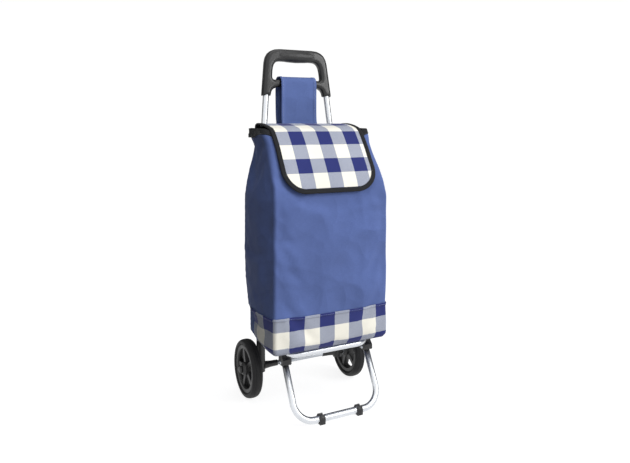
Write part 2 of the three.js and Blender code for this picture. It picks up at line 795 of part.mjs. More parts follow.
// ---------------------------------------------------------------- strips bent in the y-z plane
/** A smooth line through (y, z) points, read by distance along it. */
class BentLine {
  constructor(points) {
    const knots = points.map(([y, z]) => v3(0, y, z));
    this.curve = new THREE.CatmullRomCurve3(knots, false, "centripetal");
    this.length = this.curve.getLength();
  }

  /** The point x across, s along and n off the line's upper side. */
  point(x, s, n) {
    const u = THREE.MathUtils.clamp(s / this.length, 0, 1);
    const at = this.curve.getPointAt(u);
    const along = this.curve.getTangentAt(u);
    return v3(x, at.y - n * along.z, at.z + n * along.y);
  }
}

/** The fabric loop over the handle's crossbar, both ends sewn to the bag's back. */
function hangingLoop() {
  const line = new BentLine([
    [-10.4, 668], [-10.4, 690], [-9.6, 706], [-3, 719], [4, 733], [6, 752], [6, 800], [6.2, 838],
    [9, 850.5], [16, 857], [27, 858.6], [38, 857], [44, 849], [45.5, 834], [45, 790], [41, 735],
    [22, 690], [-2, 655], [-10.4, 630], [-10.4, 600],
  ]);
  const steps = 44;
  const thick = 0.8;
  const sections = [];
  for (let k = 0; k <= steps; k++) {
    const s = (line.length * k) / steps;
    sections.push([
      line.point(-LOOP_HALF, s, -thick), line.point(-LOOP_HALF, s, thick),
      line.point(LOOP_HALF, s, thick), line.point(LOOP_HALF, s, -thick),
    ]);
  }
  return loft(sections);
}

// ---------------------------------------------------------------- flap
const flapLine = new BentLine([
  [-17, 711.3], [-15.6, 717], [-17, 723], [-24, 726.8], [-38, 727.4], [-56, 725.8],
  [-74, 722.4], [-90, 718.4], [-102, 714.6], [-110.8, 708.4], [-117.5, 699], [-130.5, 678.5], [-155, 637.5], [-169.5, 612.5],
  [-187, 577], [-193, 555],
]);

/** Distances along the flap, closer together where its lower corners turn. */
function flapStations(length, corner) {
  const stations = [];
  const straight = length - corner;
  const steps = 16;
  for (let k = 0; k <= steps; k++) stations.push((straight * k) / steps);
  for (let k = 1; k <= CORNER_STEPS + 2; k++) {
    stations.push(straight + corner * Math.sin((Math.PI / 2) * (k / (CORNER_STEPS + 2))));
  }
  return stations;
}

function flapPanel() {
  const edge = FLAP_BINDING + GAP;
  const half = FLAP_HALF - edge;
  const corner = FLAP_CORNER - edge;
  const length = flapLine.length - edge;
  const thick = 0.9;
  const sections = flapStations(length, corner).map((s) => {
    const into = Math.max(s - (length - corner), 0);
    const w = half - corner + Math.sqrt(Math.max(corner ** 2 - into ** 2, 0));
    return [
      flapLine.point(-w, s, -thick), flapLine.point(w, s, -thick),
      flapLine.point(w, s, thick), flapLine.point(-w, s, thick),
    ];
  });
  return loft(sections);
}

/** Outer edge points and the direction into the flap, in (across, along) terms. */
function flapEdge() {
  const straight = flapLine.length - FLAP_CORNER;
  const right = [];
  const steps = 16;
  for (let k = 0; k < steps; k++) right.push([FLAP_HALF, (straight * k) / steps, -1, 0]);
  for (let k = 0; k <= CORNER_STEPS + 2; k++) {
    const a = (Math.PI / 2) * (k / (CORNER_STEPS + 2));
    const x = FLAP_HALF - FLAP_CORNER + FLAP_CORNER * Math.cos(a);
    right.push([x, straight + FLAP_CORNER * Math.sin(a), -Math.cos(a), -Math.sin(a)]);
  }
  const left = right.slice().reverse().map(([x, s, dx, ds]) => [-x, s, -dx, ds]);
  return [...right, ...left];
}

function flapBinding() {
  const thick = 1.6;
  const sections = flapEdge().map(([x, s, dx, ds]) => {
    const [xi, si] = [x + dx * FLAP_BINDING, s + ds * FLAP_BINDING];
    return [
      flapLine.point(x, s, -thick), flapLine.point(x, s, thick),
      flapLine.point(xi, si, thick), flapLine.point(xi, si, -thick),
    ];
  });
  return loft(sections);
}

function buildFlap() {
  placed("flap_panel", flapPanel(), checkFabric, trolley);
  placed("flap_binding", flapBinding(), blackTape, trolley);
}

// ---------------------------------------------------------------- the trolley
buildHandle();
buildUprights();
buildRear();
buildWheel("right", TRACK_HALF);
buildWheel("left", -TRACK_HALF);
buildPlatform();
buildStand();
buildBag();
buildFlap();

export default trolley;
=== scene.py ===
import bisect
import json
import math

import bmesh
import bpy
import numpy as np
from mathutils import Matrix, Vector, noise

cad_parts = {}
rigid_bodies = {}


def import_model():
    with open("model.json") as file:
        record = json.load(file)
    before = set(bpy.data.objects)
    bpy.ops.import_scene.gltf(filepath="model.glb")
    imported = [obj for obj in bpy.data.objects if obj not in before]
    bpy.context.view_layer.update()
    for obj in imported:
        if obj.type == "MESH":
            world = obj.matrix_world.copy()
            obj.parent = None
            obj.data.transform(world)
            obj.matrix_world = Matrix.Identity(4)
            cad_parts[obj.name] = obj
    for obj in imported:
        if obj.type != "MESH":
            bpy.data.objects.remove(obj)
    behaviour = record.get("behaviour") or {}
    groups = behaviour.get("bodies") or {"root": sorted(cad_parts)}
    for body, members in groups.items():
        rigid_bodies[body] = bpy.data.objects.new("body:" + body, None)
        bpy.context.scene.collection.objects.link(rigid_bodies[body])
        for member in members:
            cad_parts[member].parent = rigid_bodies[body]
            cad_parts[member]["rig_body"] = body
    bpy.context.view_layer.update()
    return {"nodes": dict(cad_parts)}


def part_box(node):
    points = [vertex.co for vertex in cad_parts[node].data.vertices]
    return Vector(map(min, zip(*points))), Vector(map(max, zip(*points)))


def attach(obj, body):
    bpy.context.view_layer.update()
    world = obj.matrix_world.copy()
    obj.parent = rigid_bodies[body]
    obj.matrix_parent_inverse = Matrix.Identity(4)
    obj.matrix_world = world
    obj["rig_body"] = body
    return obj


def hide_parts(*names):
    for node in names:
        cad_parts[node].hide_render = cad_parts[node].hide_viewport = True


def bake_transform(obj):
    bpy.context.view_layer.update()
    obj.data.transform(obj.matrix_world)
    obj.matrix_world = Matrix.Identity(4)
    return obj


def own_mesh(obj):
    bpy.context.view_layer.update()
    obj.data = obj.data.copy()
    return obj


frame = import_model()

FRAME, PLATFORM, STAND, FLAP = "trolley_frame", "platform", "front_stand", "flap"
MM = 0.001


def centre(node):
    low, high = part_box(node)
    return (low + high) / 2


AXLE = centre("axle_rod")


def at(x, y, z):
    """A point given in millimetres, with y counted from the axle."""
    return Vector((x * MM, AXLE.y + y * MM, z * MM))


def placed(name, data):
    """A new object, put in the scene."""
    made = bpy.data.objects.new(name, data)
    bpy.context.scene.collection.objects.link(made)
    return made


# ---------------------------------------------------------------- camera and studio
CAMERA_AT = at(-765.2, -1553.5, 727.7)
CAMERA_TURN = math.radians(-27.605)
CAMERA_LENS = 35.48
CAMERA_SHIFT = -0.171


def make_camera():
    data = bpy.data.cameras.new("camera")
    data.lens = CAMERA_LENS
    data.sensor_width = 36
    data.shift_y = CAMERA_SHIFT
    data.clip_start = 0.05
    camera = placed("camera", data)
    camera.location = CAMERA_AT
    camera.rotation_euler = (math.radians(90), 0, CAMERA_TURN)
    bpy.context.scene.camera = camera


def area_light(name, place, target, size, power):
    data = bpy.data.lights.new(name, "AREA")
    data.shape = "RECTANGLE"
    data.size, data.size_y = size
    data.energy = power
    light = placed(name, data)
    light.location = place
    aim = Vector(target) - Vector(place)
    light.rotation_euler = aim.to_track_quat("-Z", "Y").to_euler()


SOFT_LIGHT_FROM = Vector((0.62, -0.74, 0.28)).normalized()
SHINE_FROM = Vector((-0.42, -0.85, 0.32)).normalized()


def make_sky():
    """A white surround that lights cloth from one side and darkens behind in reflections."""
    world = bpy.data.worlds.new("studio")
    world.use_nodes = True
    tree = world.node_tree
    new, link = tree.nodes.new, tree.links.new
    towards = new("ShaderNodeTexCoord").outputs["Generated"]

    def glow(source, limits):
        facing = new("ShaderNodeVectorMath")
        facing.operation = "DOT_PRODUCT"
        link(towards, facing.inputs[0])
        facing.inputs[1].default_value = source
        made = new("ShaderNodeMapRange")
        made.interpolation_type = "SMOOTHSTEP"
        link(facing.outputs["Value"], made.inputs[0])
        for socket, value in zip(made.inputs[1:5], limits):
            socket.default_value = value
        return made.outputs[0]

    def choose(share, a, b):
        made = new("ShaderNodeMix")
        link(share, made.inputs[0])
        link(a, made.inputs[2])
        if isinstance(b, float):
            made.inputs[3].default_value = b
        else:
            link(b, made.inputs[3])
        return made.outputs[0]

    ray = new("ShaderNodeLightPath").outputs
    soft = glow(SOFT_LIGHT_FROM, (-0.3, 0.95, 0.035, 1.2))
    shine = glow(SHINE_FROM, (-0.25, 0.9, 0.1, 1.3))
    strength = choose(ray["Is Camera Ray"], choose(ray["Is Glossy Ray"], soft, shine), 1.02)
    link(strength, tree.nodes["Background"].inputs["Strength"])
    tree.nodes["Background"].inputs["Color"].default_value = (1, 1, 1, 1)
    bpy.context.scene.world = world


def make_studio():
    make_sky()
    bpy.context.scene.view_settings.view_transform = "Standard"
    area_light("key", (1.7, -2.0, 1.7), (0, 0, 0.45), (1.0, 1.3), 30)
    area_light("top", (0.1, -0.5, 2.6), (0, 0, 0.2), (1.6, 1.6), 12)
    area_light("back", (-1.0, 2.0, 1.9), (0, 0, 0.45), (1.5, 1.5), 3)

    mesh = bpy.data.meshes.new("floor")
    reach = 9.0
    corners = [(-reach, -reach, 0), (reach, -reach, 0), (reach, reach, 0), (-reach, reach, 0)]
    mesh.from_pydata(corners, [], [(0, 1, 2, 3)])
    floor = placed("floor", mesh)
    white = Look("floor_white", Base_Color=(0.3, 0.3, 0.305, 1), Roughness=0.8,
                 Emission_Color=(1, 1, 1, 1), Emission_Strength=0.86)
    mesh.materials.append(white.material)
    floor.visible_diffuse = False


# ---------------------------------------------------------------- materials
class Look:
    """A material being built: nodes are added by kind, inputs given as values or sockets."""

    def __init__(self, name, **shader):
        self.material = bpy.data.materials.new(name)
        self.material.use_nodes = True
        self.tree = self.material.node_tree
        self.shader = self.tree.nodes["Principled BSDF"]
        for key, value in shader.items():
            self.shader.inputs[key.replace("_", " ")].default_value = value

    def set(self, socket, value):
        if isinstance(value, bpy.types.NodeSocket):
            self.tree.links.new(value, socket)
        else:
            socket.default_value = value

    def node(self, kind, *values, **settings):
        made = self.tree.nodes.new("ShaderNode" + kind)
        for key, value in settings.items():
            setattr(made, key, value)
        for socket, value in zip(made.inputs, values):
            if value is not None:
                self.set(socket, value)
        return made

    def math(self, operation, a, b=0.0):
        return self.node("Math", a, b, operation=operation).outputs[0]

    def place(self, scale=(1, 1, 1), uv=False):
        source = self.node("TexCoord").outputs["UV" if uv else "Object"]
        mapping = self.node("Mapping")
        self.set(mapping.inputs["Vector"], source)
        mapping.inputs["Scale"].default_value = scale
        return mapping.outputs[0]

    def noise(self, vector, scale, detail=3.0, roughness=0.55):
        made = self.node("TexNoise")
        self.set(made.inputs["Vector"], vector)
        made.inputs["Scale"].default_value = scale
        made.inputs["Detail"].default_value = detail
        made.inputs["Roughness"].default_value = roughness
        return made.outputs["Fac"]

    def cells(self, vector, scale):
        made = self.node("TexVoronoi")
        self.set(made.inputs["Vector"], vector)
        made.inputs["Scale"].default_value = scale
        return made.outputs["Distance"]

    def crumple(self, vector, scale):
        """Flat facets that meet in soft creases, like cloth that was once folded."""
        bent = self.node("VectorMath", self.node("TexNoise", vector).outputs["Color"],
                         (0.09, 0.09, 0.09), operation="MULTIPLY").outputs[0]
        moved = self.node("VectorMath", vector, bent, operation="ADD").outputs[0]
        made = self.node("TexVoronoi", distance="EUCLIDEAN", feature="SMOOTH_F1")
        self.set(made.inputs["Vector"], moved)
        made.inputs["Scale"].default_value = scale
        made.inputs["Smoothness"].default_value = 0.12
        return made.outputs["Distance"]

    def spread(self, value, low, high, start=0.3, end=0.7):
        """value between start and end becomes low to high."""
        return self.node("MapRange", value, start, end, low, high).outputs[0]

    def mix(self, share, a, b, blend="MIX"):
        made = self.node("Mix", data_type="RGBA", blend_type=blend)
        for index, value in ((0, share), (6, a), (7, b)):
            self.set(made.inputs[index], value)
        return made.outputs[2]

    def shade(self, colour, factor):
        """colour multiplied by a varying factor."""
        return self.mix(1.0, colour, factor, "MULTIPLY")

    def bump(self, height, distance, strength=1.0, normal=None):
        made = self.node("Bump")
        made.inputs["Strength"].default_value = strength
        made.inputs["Distance"].default_value = distance
        self.set(made.inputs["Height"], height)
        if normal is not None:
            self.set(made.inputs["Normal"], normal)
        return made.outputs[0]

    def finish(self, colour=None, roughness=None, normal=None):
        for key, value in (("Base Color", colour), ("Roughness", roughness), ("Normal", normal)):
            if value is not None:
                self.set(self.shader.inputs[key], value)
        return self.material


def rgb(code):
    """Linear colour from a hexadecimal sRGB code."""
    parts = [((code >> shift) & 255) / 255 for shift in (16, 8, 0)]
    linear = [p / 12.92 if p <= 0.04045 else ((p + 0.055) / 1.055) ** 2.4 for p in parts]
    return (*linear, 1)


THREAD = 1.0 * MM
CELL = 40.2 * MM


def weave(look, uv, pitch=THREAD):
    """Plain weave: over and under alternate in both directions. Returns a height from 0 to 1."""
    parts = look.node("SeparateXYZ", uv).outputs
    turn = math.pi / pitch
    across = look.math("SINE", look.math("MULTIPLY", parts[0], turn))
    along = look.math("SINE", look.math("MULTIPLY", parts[1], turn))
    return look.math("MULTIPLY_ADD", look.math("MULTIPLY", across, along), 0.5)


# grain is the share of painted shade between the weave's hollows and its raised threads.
def cloth_look(name, colour, roughness=0.78, sheen=0.06, grain=0.1, lit=1.12, dull=0.86):
    look = Look(name, Roughness=roughness, Sheen_Weight=sheen, Sheen_Roughness=0.4,
                Specular_IOR_Level=0.14)
    uv = look.place(uv=True)
    solid = look.place()
    height = weave(look, uv)
    cloud = look.noise(solid, 7, 4)
    slub = look.noise(look.place((90, 900, 1), uv=True), 1.0, 2)
    tone = look.math("MULTIPLY", look.spread(cloud, dull, lit), look.spread(slub, 0.95, 1.05))
    # Painted shade: the weave's hollows are darker and its raised threads lighter, by the share
    # grain.
    tone = look.math("MULTIPLY", tone, look.spread(height, 1 - grain, 1 + grain, 0, 1))
    colour = look.shade(colour, tone)
    rumple = look.bump(look.noise(solid, 24, 3), 1.6 * MM, 0.35)
    for size, deep in ((7.5, 17.0), (19, 5.5)):
        rumple = look.bump(look.crumple(solid, size), deep * MM, 0.7, rumple)
    normal = look.bump(height, 0.16 * MM, 0.5, rumple)
    return look.finish(colour, look.spread(cloud, roughness - 0.06, roughness + 0.08), normal)


def check_look(name, across_shift, along_shift, cell=CELL):
    """Woven gingham: dyed and pale stripes cross in both directions."""
    look = Look(name, Roughness=0.8, Sheen_Weight=0.15, Sheen_Roughness=0.4,
                Specular_IOR_Level=0.3)
    uv = look.place(uv=True)
    parts = look.node("SeparateXYZ", uv).outputs

    def dyed(coordinate, shift, size):
        count = look.math("DIVIDE", look.math("SUBTRACT", coordinate, shift), 2 * size)
        share = look.math("FRACT", look.math("ADD", count, 64.0))
        return look.math("LESS_THAN", share, 0.5)

    warp = dyed(parts[0], across_shift, cell)
    weft = dyed(parts[1], along_shift, CELL)
    height = weave(look, uv)
    solid = look.place()
    navy, cream, both = rgb(0x212A6C), rgb(0xF1EEE2), rgb(0x9AA0B2)
    full = look.math("MULTIPLY", warp, weft)
    some = look.math("MAXIMUM", warp, weft)
    one = look.math("SUBTRACT", some, full)
    # Where the stripes cross only once, dyed and pale threads alternate on the surface.
    speckle = look.mix(look.spread(height, 0, 1, 0.35, 0.65), rgb(0x6F7690), rgb(0xC0C3C8))
    blurred = look.mix(0.45, both, speckle)
    colour = look.mix(one, look.mix(full, cream, navy), blurred)
    tone = look.math("MULTIPLY", look.spread(look.noise(solid, 9, 3), 0.93, 1.05),
                     look.spread(look.noise(look.place((120, 1500, 1), uv=True), 1, 2), 0.97, 1.03))
    colour = look.shade(colour, tone)
    rumple = look.bump(look.noise(solid, 22, 3), 1.2 * MM, 0.3)
    normal = look.bump(height, 0.16 * MM, 0.5, rumple)
    return look.finish(colour, None, normal)


def tape_look():
    """Ribbed binding tape: fine ribs across its length, with painted shade in their grooves."""
    look = Look("black_tape", Roughness=0.72, Sheen_Weight=0.05, Sheen_Roughness=0.4,
                Specular_IOR_Level=0.25)
    parts = look.node("SeparateXYZ", look.place(uv=True)).outputs
    ribs = look.math("SINE", look.math("MULTIPLY", parts[0], 2 * math.pi / (1.1 * MM)))
    cloud = look.noise(look.place(), 40, 3)
    # Painted shade: the colour is darker in the rib grooves and lighter on the crests, over a
    # random cloudy tone.
    tone = look.math("MULTIPLY", look.spread(cloud, 0.75, 1.3),
                     look.spread(ribs, 0.88, 1.12, -1, 1))
    colour = look.shade(rgb(0x15161A), tone)
    normal = look.bump(ribs, 0.12 * MM, 0.6)
    return look.finish(colour, look.spread(cloud, 0.62, 0.8), normal)


def plastic_look(name, colour, roughness, pebble=0.0, grain=0.05 * MM):
    look = Look(name, Roughness=roughness, Specular_IOR_Level=0.5)
    solid = look.place()
    cloud = look.noise(solid, 18, 4)
    fine = look.noise(solid, 1300, 2)
    scuff = look.noise(look.place((1, 1, 4)), 160, 2)
    tone = look.math("MULTIPLY", look.spread(cloud, 0.85, 1.15),
                     look.spread(scuff, 0.95, 1.1, 0.6, 0.75))
    normal = look.bump(fine, grain, 0.35)
    if pebble:
        normal = look.bump(look.cells(solid, 620), pebble, 0.8, normal)
    rough = look.math("ADD", look.spread(cloud, roughness - 0.05, roughness + 0.07),
                      look.spread(scuff, 0.0, 0.1, 0.55, 0.75))
    return look.finish(look.shade(colour, tone), rough, normal)


def metal_look(name, colour, roughness, draw=(1, 1, 1)):
    """Metal with fine lines along its length, where draw is small in that direction."""
    look = Look(name, Metallic=1.0, Roughness=roughness)
    lines = look.noise(look.place(draw), 900, 3)
    cloud = look.noise(look.place(), 14, 3)
    tone = look.math("MULTIPLY", look.spread(lines, 0.93, 1.05), look.spread(cloud, 0.95, 1.04))
    rough = look.math("ADD", look.spread(lines, -0.05, 0.07),
                      look.spread(cloud, roughness - 0.03, roughness + 0.05))
    return look.finish(look.shade(colour, tone), rough, look.bump(lines, 0.03 * MM, 0.25))


def rubber_look():
    look = Look("tyre_rubber", Roughness=0.62, Specular_IOR_Level=0.3)
    solid = look.place()
    cloud = look.noise(solid, 30, 4)
    dust = look.noise(solid, 220, 3)
    tone = look.math("MULTIPLY", look.spread(cloud, 0.8, 1.25),
                     look.spread(dust, 0.9, 1.2, 0.5, 0.8))
    rough = look.spread(cloud, 0.5, 0.72)
    return look.finish(look.shade(rgb(0x141416), tone), rough, look.bump(dust, 0.08 * MM, 0.4))


def thread_look(name, colour):
    look = Look(name, Roughness=0.65, Sheen_Weight=0.2)
    twist = look.noise(look.place(), 1500, 2)
    return look.finish(look.shade(colour, look.spread(twist, 0.75, 1.2)), None,
                       look.bump(twist, 0.05 * MM, 0.5))


FLAP_EDGE = 129 * MM
FLAP_ROW_Z = 673.5

BLUE = cloth_look("blue_fabric", rgb(0x56689E))
BLUE_BACK = cloth_look("blue_fabric_loop", rgb(0x56689C), lit=1.08, dull=0.9)
BAND_CHECK = check_look("check_fabric_band", 42.6 * MM, 224 * MM, 41.6 * MM)
TAPE = tape_look()
GRIP = plastic_look("grip_plastic", rgb(0x161618), 0.38, pebble=0.3 * MM)
GRIP_PLAIN = plastic_look("grip_plastic_plain", rgb(0x0E0E10), 0.3)
PLASTIC = plastic_look("black_plastic", rgb(0x111113), 0.42)
RUBBER = rubber_look()
TUBE = metal_look("aluminium_tube", rgb(0xD3D6DA), 0.3, (1, 1, 0.03))
STEEL = metal_look("zinc_steel", rgb(0xB4B8BE), 0.34)
THREAD_BLUE = thread_look("thread_blue", rgb(0x9AA6CF))
THREAD_BLACK = thread_look("thread_black", rgb(0x3A3B40))


# ---------------------------------------------------------------- mesh helpers
def shade_smooth(mesh):
    mesh.polygons.foreach_set("use_smooth", [True] * len(mesh.polygons))


def add_object(name, verts, faces, material, uvs=None):
    mesh = bpy.data.meshes.new(name)
    mesh.from_pydata([tuple(v) for v in verts], [], faces)
    if uvs is not None:
        layer = mesh.uv_layers.new(name="UVMap")
        for loop in mesh.loops:
            layer.data[loop.index].uv = uvs[loop.vertex_index]
    mesh.materials.append(material)
    shade_smooth(mesh)
    mesh.update()
    return placed(name, mesh)


def grid(rows, columns, ring=False):
    """Faces of a rows by columns grid of points; ring joins the last column to the first."""
    faces = []
    last = columns if ring else columns - 1
    for r in range(rows - 1):
        for c in range(last):
            d = (c + 1) % columns
            here, above = r * columns, (r + 1) * columns
            faces.append((here + c, here + d, above + d, above + c))
    return faces


def run_along(points):
    """The distance of each point along the line through them all."""
    run = [0.0]
    for a, b in zip(points, points[1:]):
        run.append(run[-1] + (b - a).length)
    return run


def face_out(obj):
    work = bmesh.new()
    work.from_mesh(obj.data)
    bmesh.ops.recalc_face_normals(work, faces=work.faces)
    work.to_mesh(obj.data)
    work.free()
    return obj


def applied(obj):
    """Bakes the modifiers of obj into its mesh."""
    graph = bpy.context.evaluated_depsgraph_get()
    baked = bpy.data.meshes.new_from_object(obj.evaluated_get(graph))
    obj.modifiers.clear()
    old = obj.data
    obj.data = baked
    baked.name = obj.name
    bpy.data.meshes.remove(old)
    return obj


def thickened(obj, thickness, offset):
    made = obj.modifiers.new("thickness", "SOLIDIFY")
    made.thickness = thickness
    made.offset = offset
    made.use_even_offset = True
    return applied(obj)


def tube_along(name, points, radius, material, sides=32, wall=1.3 * MM):
    """A round open-ended tube through the points."""
    count = len(points)
    tangents = []
    for i, p in enumerate(points):
        ahead = points[min(i + 1, count - 1)] - p
        back = p - points[max(i - 1, 0)]
        tangents.append((ahead.normalized() + back.normalized()).normalized())
    normal = tangents[0].orthogonal().normalized()
    verts, uvs = [], []
    run = 0.0
    for i, p in enumerate(points):
        if i:
            normal = (tangents[i - 1].rotation_difference(tangents[i])) @ normal
            run += (p - points[i - 1]).length
        side = tangents[i].cross(normal)
        for k in range(sides):
            a = 2 * math.pi * k / sides
            verts.append(p + radius * (math.cos(a) * normal + math.sin(a) * side))
            uvs.append((run, a * radius))
    made = add_object(name, verts, grid(count, sides, ring=True), material, uvs)
    face_out(made)
    return thickened(made, wall, -1.0)


def rounded(corners, radius, steps=14):
    """Straight runs between the corners, each corner rounded to the radius."""
    points = [corners[0]]
    for before, corner, after in zip(corners, corners[1:], corners[2:]):
        back = (before - corner).normalized()
        ahead = (after - corner).normalized()
        half = back.angle(ahead) / 2
        middle = corner + (back + ahead).normalized() * (radius / math.sin(half))
        start = corner + back * (radius / math.tan(half)) - middle
        end = corner + ahead * (radius / math.tan(half)) - middle
        axis = start.cross(end).normalized()
        for k in range(steps + 1):
            turn = Matrix.Rotation((math.pi - 2 * half) * k / steps, 3, axis)
            points.append(middle + turn @ start)
    points.append(corners[-1])
    return points


def turned(name, profile, place, material, segments=96):
    """A ring turned about an axis along x; profile is (radius, x) in millimetres."""
    verts = []
    for r, x in profile:
        for k in range(segments):
            a = 2 * math.pi * k / segments
            verts.append(place + Vector((x * MM, r * MM * math.cos(a), r * MM * math.sin(a))))
    faces = grid(len(profile), segments, ring=True)
    last = (len(profile) - 1) * segments
    for k in range(segments):
        n = (k + 1) % segments
        faces.append((last + k, last + n, n, k))
    return face_out(add_object(name, verts, faces, material))


def polish(node, material, bevel=0.0, segments=2):
    """A CAD node keeps its shape, with its small edges broken and its rounds shaded smoothly."""
    source = frame["nodes"][node]
    work = bmesh.new()
    work.from_mesh(source.data)
    bmesh.ops.remove_doubles(work, verts=work.verts, dist=2e-6)
    bmesh.ops.dissolve_limit(work, angle_limit=math.radians(1), verts=work.verts, edges=work.edges)
    mesh = bpy.data.meshes.new(node + "_finished")
    work.to_mesh(mesh)
    work.free()
    mesh.materials.clear()
    mesh.materials.append(material)
    made = placed(node + "_finished", mesh)
    if bevel:
        edge = made.modifiers.new("edge", "BEVEL")
        edge.width = bevel
        edge.segments = segments
        edge.limit_method = "ANGLE"
        edge.angle_limit = math.radians(38)
        applied(made)
    shade_smooth(made.data)
    made.data.set_sharp_from_angle(angle=math.radians(40))
    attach(made, source["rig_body"])
    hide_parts(node)
    return made


def melted(node, material, voxel, rounds):
    """A moulded piece: the CAD node remeshed finely and its edges softened."""
    source = frame["nodes"][node]
    mesh = source.data.copy()
    made = placed(node + "_moulded", mesh)
    weld = made.modifiers.new("weld", "WELD")
    weld.merge_threshold = 2e-6
    remesh = made.modifiers.new("remesh", "REMESH")
    remesh.mode = "VOXEL"
    remesh.voxel_size = voxel
    remesh.use_smooth_shade = True
    soft = made.modifiers.new("soft", "SMOOTH")
    soft.factor = 0.5
    soft.iterations = rounds
    applied(made)
    made.data.materials.clear()
    made.data.materials.append(material)
    shade_smooth(made.data)
    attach(made, source["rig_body"])
    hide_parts(node)
    return made


def stitches(name, path, outward, material, body, pitch=4.2 * MM, thick=0.62 * MM):
    """A row of stitches along a path, each a short rounded thread lying on the cloth."""
    outward = [n.normalized() for n in outward]
    reach = run_along(path)
    count = max(int(reach[-1] / pitch), 2)
    length = pitch * 0.62
    verts, faces = [], []

    def point(s):
        i = min(max(bisect.bisect_right(reach, s) - 1, 0), len(path) - 2)
        share = (s - reach[i]) / max(reach[i + 1] - reach[i], 1e-9)
        return path[i].lerp(path[i + 1], share), outward[i].lerp(outward[i + 1], share).normalized()

    # share of the length, share of the thickness, rise off the cloth
    rings = [(-0.5, 0.25, -0.6), (-0.32, 0.85, 0.1), (0, 1, 0.35), (0.32, 0.85, 0.1),
             (0.5, 0.25, -0.6)]
    sides = 5
    for k in range(count):
        s = (k + 0.5) * reach[-1] / count
        here, up = point(s)
        along = (point(s + pitch / 4)[0] - point(s - pitch / 4)[0]).normalized()
        across = along.cross(up).normalized()
        first = len(verts)
        for share, width, lift in rings:
            for j in range(sides):
                a = 2 * math.pi * j / sides
                spot = here + along * (share * length) + up * (lift * thick)
                verts.append(spot + thick * width * (math.cos(a) * across + 0.7 * math.sin(a) * up))
        for r in range(len(rings) - 1):
            for j in range(sides):
                n = (j + 1) % sides
                low, high = first + r * sides, first + (r + 1) * sides
                faces.append((low + j, low + n, high + n, high + j))
        faces.append(tuple(first + j for j in reversed(range(sides))))
        faces.append(tuple(first + (len(rings) - 1) * sides + j for j in range(sides)))
    made = add_object(name, verts, faces, material)
    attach(made, body)
    return made


def folds_flat(*pieces):
    """Gives each soft piece a mesh of its own."""
    for piece in pieces:
        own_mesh(piece)


# ---------------------------------------------------------------- frame pieces
PEBBLED_DEPTH = 43 * MM  # the pebbled part of the grip's top bar, down from its crown
PEBBLED_HALF = 55 * MM
GRIP_VOXEL, GRIP_ROUNDS = 1.3 * MM, 16


def make_frame():
    grip = melted("handle_grip", GRIP_PLAIN, GRIP_VOXEL, GRIP_ROUNDS)
    grip.data.materials.append(GRIP)
    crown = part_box("handle_grip")[1].z
    for face in grip.data.polygons:
        if face.center.z > crown - PEBBLED_DEPTH and abs(face.center.x) < PEBBLED_HALF:
            face.material_index = 1
    for side, sign in (("right", 1), ("left", -1)):
        polish(f"handle_screw_{side}", STEEL)
        polish(f"fitting_screw_{side}", STEEL)
        polish(f"upright_tube_{side}", TUBE)
        polish(f"rear_fitting_{side}", PLASTIC, 0.7 * MM)
        polish(f"axle_washer_{side}", STEEL, 0.2 * MM)
        polish(f"axle_cap_{side}", PLASTIC, 0.5 * MM)
        polish(f"platform_pin_{side}", STEEL)
        polish(f"front_bracket_{side}", PLASTIC, 1.0 * MM, 3)
        polish(f"stand_pin_{side}", STEEL)
        polish(f"foot_clip_{side}", PLASTIC, 0.5 * MM)
        make_wheel(side, sign)
    polish("axle_rod", STEEL, 0.4 * MM)


WHEEL_R = 75
TRACK_HALF = 154.5
TUBE_R = 8.25 * MM


def tyre_profile():
    """Half the tyre's section, mirrored: bead, sidewall with a raised line, shoulder, tread."""
    half = [
        (61, 0), (61, 9.6), (61.6, 10.6), (63, 12.2), (64.6, 13.2), (65.4, 13.9), (66.2, 13.9),
        (66.8, 13.5), (69.4, 13.8), (71.4, 12.9), (73, 11), (74.1, 8.2), (74.6, 6.2), (74.2, 5.7),
        (73.9, 5.2), (74.5, 4.6), (75, 3.4), (75, 1.2),
    ]
    return half + [(r, -x) for r, x in reversed(half[1:])]


def make_wheel(side, sign):
    place = Vector((sign * TRACK_HALF * MM, AXLE.y, WHEEL_R * MM))
    body = f"wheel_{side}"
    tyre = turned(f"tyre_{side}_turned", tyre_profile(), place, RUBBER)
    tyre.data.set_sharp_from_angle(angle=math.radians(50))
    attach(tyre, body)
    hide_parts(f"tyre_{side}")
    polish(f"wheel_rim_{side}", PLASTIC, 1.1 * MM, 3)


FRAME_HALF = 118
PLATFORM_Z = 155
PLATFORM_FRONT = -168
PLATFORM_REAR = -30
STAND_PIVOT = (-154, 137)
STAND_BAR = (-223, 11)


def make_tubes():
    platform = rounded([
        at(FRAME_HALF, PLATFORM_REAR, PLATFORM_Z), at(FRAME_HALF, PLATFORM_FRONT, PLATFORM_Z),
        at(-FRAME_HALF, PLATFORM_FRONT, PLATFORM_Z), at(-FRAME_HALF, PLATFORM_REAR, PLATFORM_Z),
    ], 35 * MM)
    piece = tube_along("platform_tube_drawn", platform, TUBE_R, TUBE)
    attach(piece, PLATFORM)
    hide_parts("platform_tube")

    down = (at(0, *STAND_BAR) - at(0, *STAND_PIVOT)).normalized()
    top = at(0, *STAND_PIVOT) - down * 3.4 * MM
    bar = at(0, *STAND_BAR)
    half = Vector((FRAME_HALF * MM, 0, 0))
    stand = rounded([top + half, bar + half, bar - half, top - half], 48 * MM, 20)
    piece = tube_along("stand_tube_drawn", stand, TUBE_R, TUBE)
    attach(piece, STAND)
    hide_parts("stand_tube")


